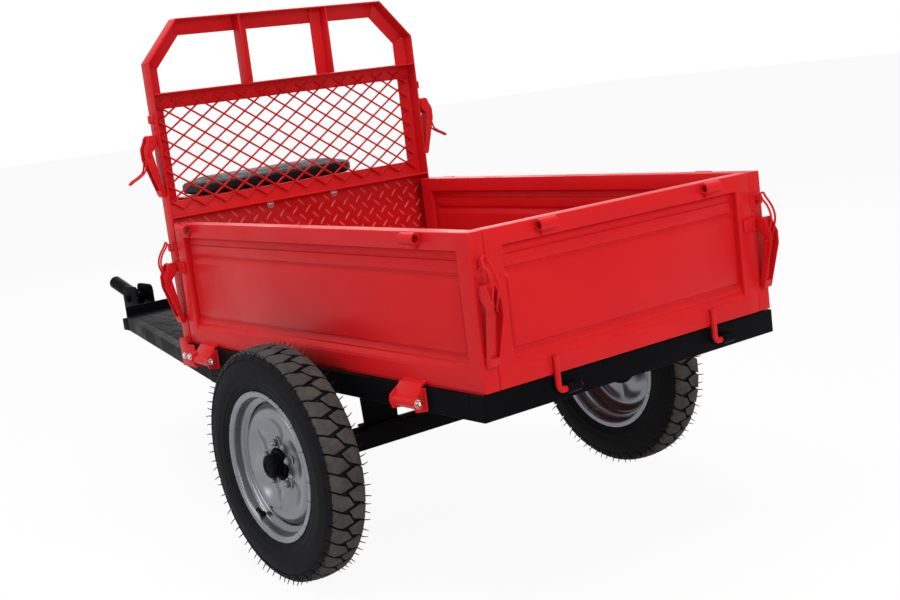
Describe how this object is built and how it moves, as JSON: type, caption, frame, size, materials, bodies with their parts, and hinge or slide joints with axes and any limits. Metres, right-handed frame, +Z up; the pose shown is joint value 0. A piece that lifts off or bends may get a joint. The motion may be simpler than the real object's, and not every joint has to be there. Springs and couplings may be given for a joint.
{
  "type": "two-wheel tractor trailer",
  "caption": "Drop-side cargo trailer with a mesh headboard, a driver's seat, a foot plate and a tow tube, for use behind a walking tractor.",
  "frame": {"origin": "middle of the overall length and width, on the ground", "axes": "+Z up, +Y forward towards the tow tube, +X to the right of someone facing forward"},
  "size_m": [1.104, 2.6115, 1.264],
  "materials": {
    "red_paint": "glossy red paint",
    "black_paint": "satin black paint",
    "silver_paint": "silver paint",
    "zinc": "bright zinc plating",
    "tyre": "moulded rubber",
    "seat_vinyl": "grained black seat vinyl"
  },
  "bodies": {
    "root": {"axle_beam": "black_paint", "axle_bracket_left": "black_paint", "axle_bracket_right": "black_paint", "axle_cross_member": "black_paint", "chassis_rail_left": "black_paint", "chassis_rail_right": "black_paint", "deck_floor": "red_paint", "drawbar_cross_bar": "black_paint", "drawbar_rail_left": "black_paint", "drawbar_rail_right": "black_paint", "foot_plate": "black_paint", "front_cross_member": "black_paint", "front_panel": "red_paint", "headboard_corner_left": "red_paint", "headboard_corner_right": "red_paint", "headboard_lower_rail": "red_paint", "headboard_mesh": "red_paint", "headboard_middle_rail": "red_paint", "headboard_post_left": "red_paint", "headboard_post_right": "red_paint", "headboard_top_rail": "red_paint", "headboard_upright_left": "red_paint", "headboard_upright_right": "red_paint", "hitch_bracket": "black_paint", "rear_cross_member": "black_paint", "seat_bolt_left": "zinc", "seat_bolt_right": "zinc", "seat_cushion": "seat_vinyl", "seat_pan": "red_paint", "side_hinge_front_left": "red_paint", "side_hinge_front_right": "red_paint", "side_hinge_rear_left": "red_paint", "side_hinge_rear_right": "red_paint", "tail_hinge_tube_left": "black_paint", "tail_hinge_tube_right": "black_paint"},
    "tailgate": {"tailgate": "red_paint", "tail_hinge_rod_left": "red_paint", "tail_hinge_rod_right": "red_paint"},
    "tow_tube": {"tow_tube": "black_paint"},
    "side_panel_left": {"side_panel_left": "red_paint"},
    "wheel_left": {"tyre_left": "tyre", "rim_left": "silver_paint", "hub_left": "black_paint"},
    "side_panel_right": {"side_panel_right": "red_paint"},
    "wheel_right": {"tyre_right": "tyre", "rim_right": "silver_paint", "hub_right": "black_paint"},
    "lever_rear_left": {"latch_lever_rear_left": "red_paint"},
    "bail_rear_left": {"latch_bail_rear_left": "red_paint"},
    "lever_front_left": {"latch_lever_front_left": "red_paint"},
    "bail_front_left": {"latch_bail_front_left": "red_paint"},
    "lever_upper_left": {"latch_lever_upper_left": "red_paint"},
    "bail_upper_left": {"latch_bail_upper_left": "red_paint"},
    "lever_rear_right": {"latch_lever_rear_right": "red_paint"},
    "bail_rear_right": {"latch_bail_rear_right": "red_paint"},
    "lever_front_right": {"latch_lever_front_right": "red_paint"},
    "bail_front_right": {"latch_bail_front_right": "red_paint"},
    "lever_upper_right": {"latch_lever_upper_right": "red_paint"},
    "bail_upper_right": {"latch_bail_upper_right": "red_paint"}
  },
  "joints": [
    {"name": "wheel_left_spin", "type": "hinge", "parent": "root", "child": "wheel_left", "pos_m": [-0.503, -0.64227, 0.2625], "axis": [1, 0, 0], "continuous": true},
    {"name": "wheel_right_spin", "type": "hinge", "parent": "root", "child": "wheel_right", "pos_m": [0.503, -0.64227, 0.2625], "axis": [1, 0, 0], "continuous": true},
    {"name": "tailgate_swing", "type": "hinge", "parent": "root", "child": "tailgate", "pos_m": [0, -1.26707, 0.43], "axis": [1, 0, 0], "range_deg": [0, 170]},
    {"name": "side_panel_left_swing", "type": "hinge", "parent": "root", "child": "side_panel_left", "pos_m": [-0.43, -0.66027, 0.43], "axis": [0, -1, 0], "range_deg": [0, 34]},
    {"name": "side_panel_right_swing", "type": "hinge", "parent": "root", "child": "side_panel_right", "pos_m": [0.43, -0.66027, 0.43], "axis": [0, 1, 0], "range_deg": [0, 34]},
    {"name": "tow_tube_lift", "type": "hinge", "parent": "root", "child": "tow_tube", "pos_m": [0, 1.13973, 0.428], "axis": [1, 0, 0], "range_deg": [0, 35]},
    {"name": "lever_rear_left_swing", "type": "hinge", "parent": "tailgate", "child": "lever_rear_left", "pos_m": [-0.385, -1.28027, 0.655], "axis": [-1, 0, 0], "range_deg": [0, 110]},
    {"name": "bail_rear_left_swing", "type": "hinge", "parent": "lever_rear_left", "child": "bail_rear_left", "pos_m": [-0.385, -1.29027, 0.617], "axis": [-1, 0, 0], "range_deg": [-110, 0]},
    {"name": "lever_front_left_swing", "type": "hinge", "parent": "side_panel_left", "child": "lever_front_left", "pos_m": [-0.4225, -0.04827, 0.655], "axis": [0, 1, 0], "range_deg": [0, 110]},
    {"name": "bail_front_left_swing", "type": "hinge", "parent": "lever_front_left", "child": "bail_front_left", "pos_m": [-0.4325, -0.04827, 0.617], "axis": [0, 1, 0], "range_deg": [-110, 0]},
    {"name": "lever_upper_left_swing", "type": "hinge", "parent": "root", "child": "lever_upper_left", "pos_m": [-0.422, -0.04827, 0.975], "axis": [0, 1, 0], "range_deg": [0, 110]},
    {"name": "bail_upper_left_swing", "type": "hinge", "parent": "lever_upper_left", "child": "bail_upper_left", "pos_m": [-0.432, -0.04827, 0.937], "axis": [0, 1, 0], "range_deg": [0, 30]},
    {"name": "lever_rear_right_swing", "type": "hinge", "parent": "tailgate", "child": "lever_rear_right", "pos_m": [0.385, -1.28027, 0.655], "axis": [-1, 0, 0], "range_deg": [0, 110]},
    {"name": "bail_rear_right_swing", "type": "hinge", "parent": "lever_rear_right", "child": "bail_rear_right", "pos_m": [0.385, -1.29027, 0.617], "axis": [-1, 0, 0], "range_deg": [-110, 0]},
    {"name": "lever_front_right_swing", "type": "hinge", "parent": "side_panel_right", "child": "lever_front_right", "pos_m": [0.4225, -0.04827, 0.655], "axis": [0, -1, 0], "range_deg": [0, 110]},
    {"name": "bail_front_right_swing", "type": "hinge", "parent": "lever_front_right", "child": "bail_front_right", "pos_m": [0.4325, -0.04827, 0.617], "axis": [0, -1, 0], "range_deg": [-110, 0]},
    {"name": "lever_upper_right_swing", "type": "hinge", "parent": "root", "child": "lever_upper_right", "pos_m": [0.422, -0.04827, 0.975], "axis": [0, -1, 0], "range_deg": [0, 110]},
    {"name": "bail_upper_right_swing", "type": "hinge", "parent": "lever_upper_right", "child": "bail_upper_right", "pos_m": [0.432, -0.04827, 0.937], "axis": [0, -1, 0], "range_deg": [0, 30]}
  ],
  "couplings": [
    {"joint": "bail_rear_left_swing", "follows": "lever_rear_left_swing", "ratio": -1},
    {"joint": "bail_front_left_swing", "follows": "lever_front_left_swing", "ratio": -1},
    {"joint": "bail_rear_right_swing", "follows": "lever_rear_right_swing", "ratio": -1},
    {"joint": "bail_front_right_swing", "follows": "lever_front_right_swing", "ratio": -1}
  ]
}
